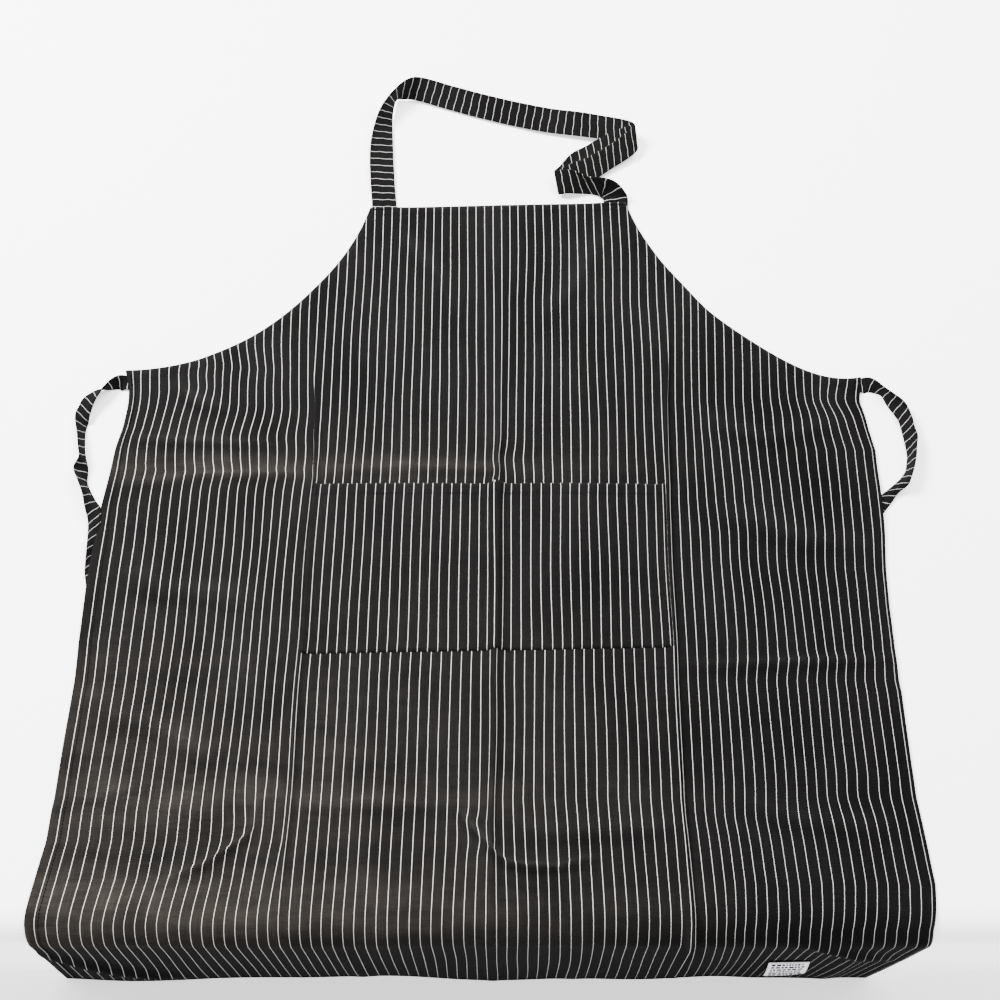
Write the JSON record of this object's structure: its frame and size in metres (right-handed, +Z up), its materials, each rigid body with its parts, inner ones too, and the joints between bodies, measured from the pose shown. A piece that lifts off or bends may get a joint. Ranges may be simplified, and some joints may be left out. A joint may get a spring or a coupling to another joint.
{
  "type": "butcher apron",
  "caption": "Bib apron of chalk-striped cloth with a fixed neck strap, waist ties and a stitched double front pocket, laid on a counter with its hem hanging over the edge.",
  "frame": {"origin": "under the middle of the apron's bounding box, level with the bottom hem; the counter top is 165 mm above it", "axes": "+X to the right of the apron laid face up with its neck away from the viewer, +Y from the skirt to the neck, +Z up out of the cloth"},
  "size_m": [0.7843, 0.8893, 0.1975],
  "materials": {
    "striped_cloth": "black twill with off-white chalk stripes, matte",
    "hem_cloth": "turned and stitched edge of the same striped twill",
    "band_cloth": "folded band of the same twill with stripes across it",
    "thread": "spun black sewing thread",
    "label_tape": "white woven label tape with plain grey marks"
  },
  "bodies": {
    "root": {"body_panel": "striped_cloth", "pocket_patch": "striped_cloth", "bib_top_hem": "hem_cloth", "left_armhole_hem": "hem_cloth", "right_armhole_hem": "hem_cloth", "left_side_hem": "hem_cloth", "right_side_hem": "hem_cloth", "bottom_hem": "hem_cloth", "pocket_mouth_hem": "hem_cloth", "bib_hem_stitching": "thread", "left_armhole_stitching": "thread", "right_armhole_stitching": "thread", "left_side_stitching": "thread", "right_side_stitching": "thread", "bottom_hem_stitching": "thread", "pocket_mouth_stitching": "thread", "pocket_edge_stitching": "thread", "pocket_divider_stitching": "thread", "pocket_bartacks": "thread", "strap_end_bartacks": "thread", "left_tie_bartack": "thread", "right_tie_bartack": "thread"},
    "neck_strap": {"neck_strap": "band_cloth", "neck_strap_stitching": "thread"},
    "left_tie": {"left_tie": "band_cloth", "left_tie_stitching": "thread"},
    "right_tie": {"right_tie": "band_cloth", "right_tie_stitching": "thread"},
    "care_label": {"care_label": "label_tape", "care_label_stitching": "thread"}
  },
  "joints": [
    {"name": "neck_strap_lift", "type": "hinge", "parent": "root", "child": "neck_strap", "pos_m": [0, 0.2875, 0.1666], "axis": [1, 0, 0], "range_deg": [0, 70]},
    {"name": "left_tie_swing", "type": "hinge", "parent": "root", "child": "left_tie", "pos_m": [-0.348, 0.068, 0.166], "axis": [0, 0, -1], "range_deg": [0, 60]},
    {"name": "right_tie_swing", "type": "hinge", "parent": "root", "child": "right_tie", "pos_m": [0.348, 0.068, 0.166], "axis": [0, 0, 1], "range_deg": [0, 60]},
    {"name": "care_label_flip", "type": "hinge", "parent": "root", "child": "care_label", "pos_m": [0.24, -0.4437, 0.088], "axis": [-1, 0, 0], "range_deg": [0, 150]}
  ]
}
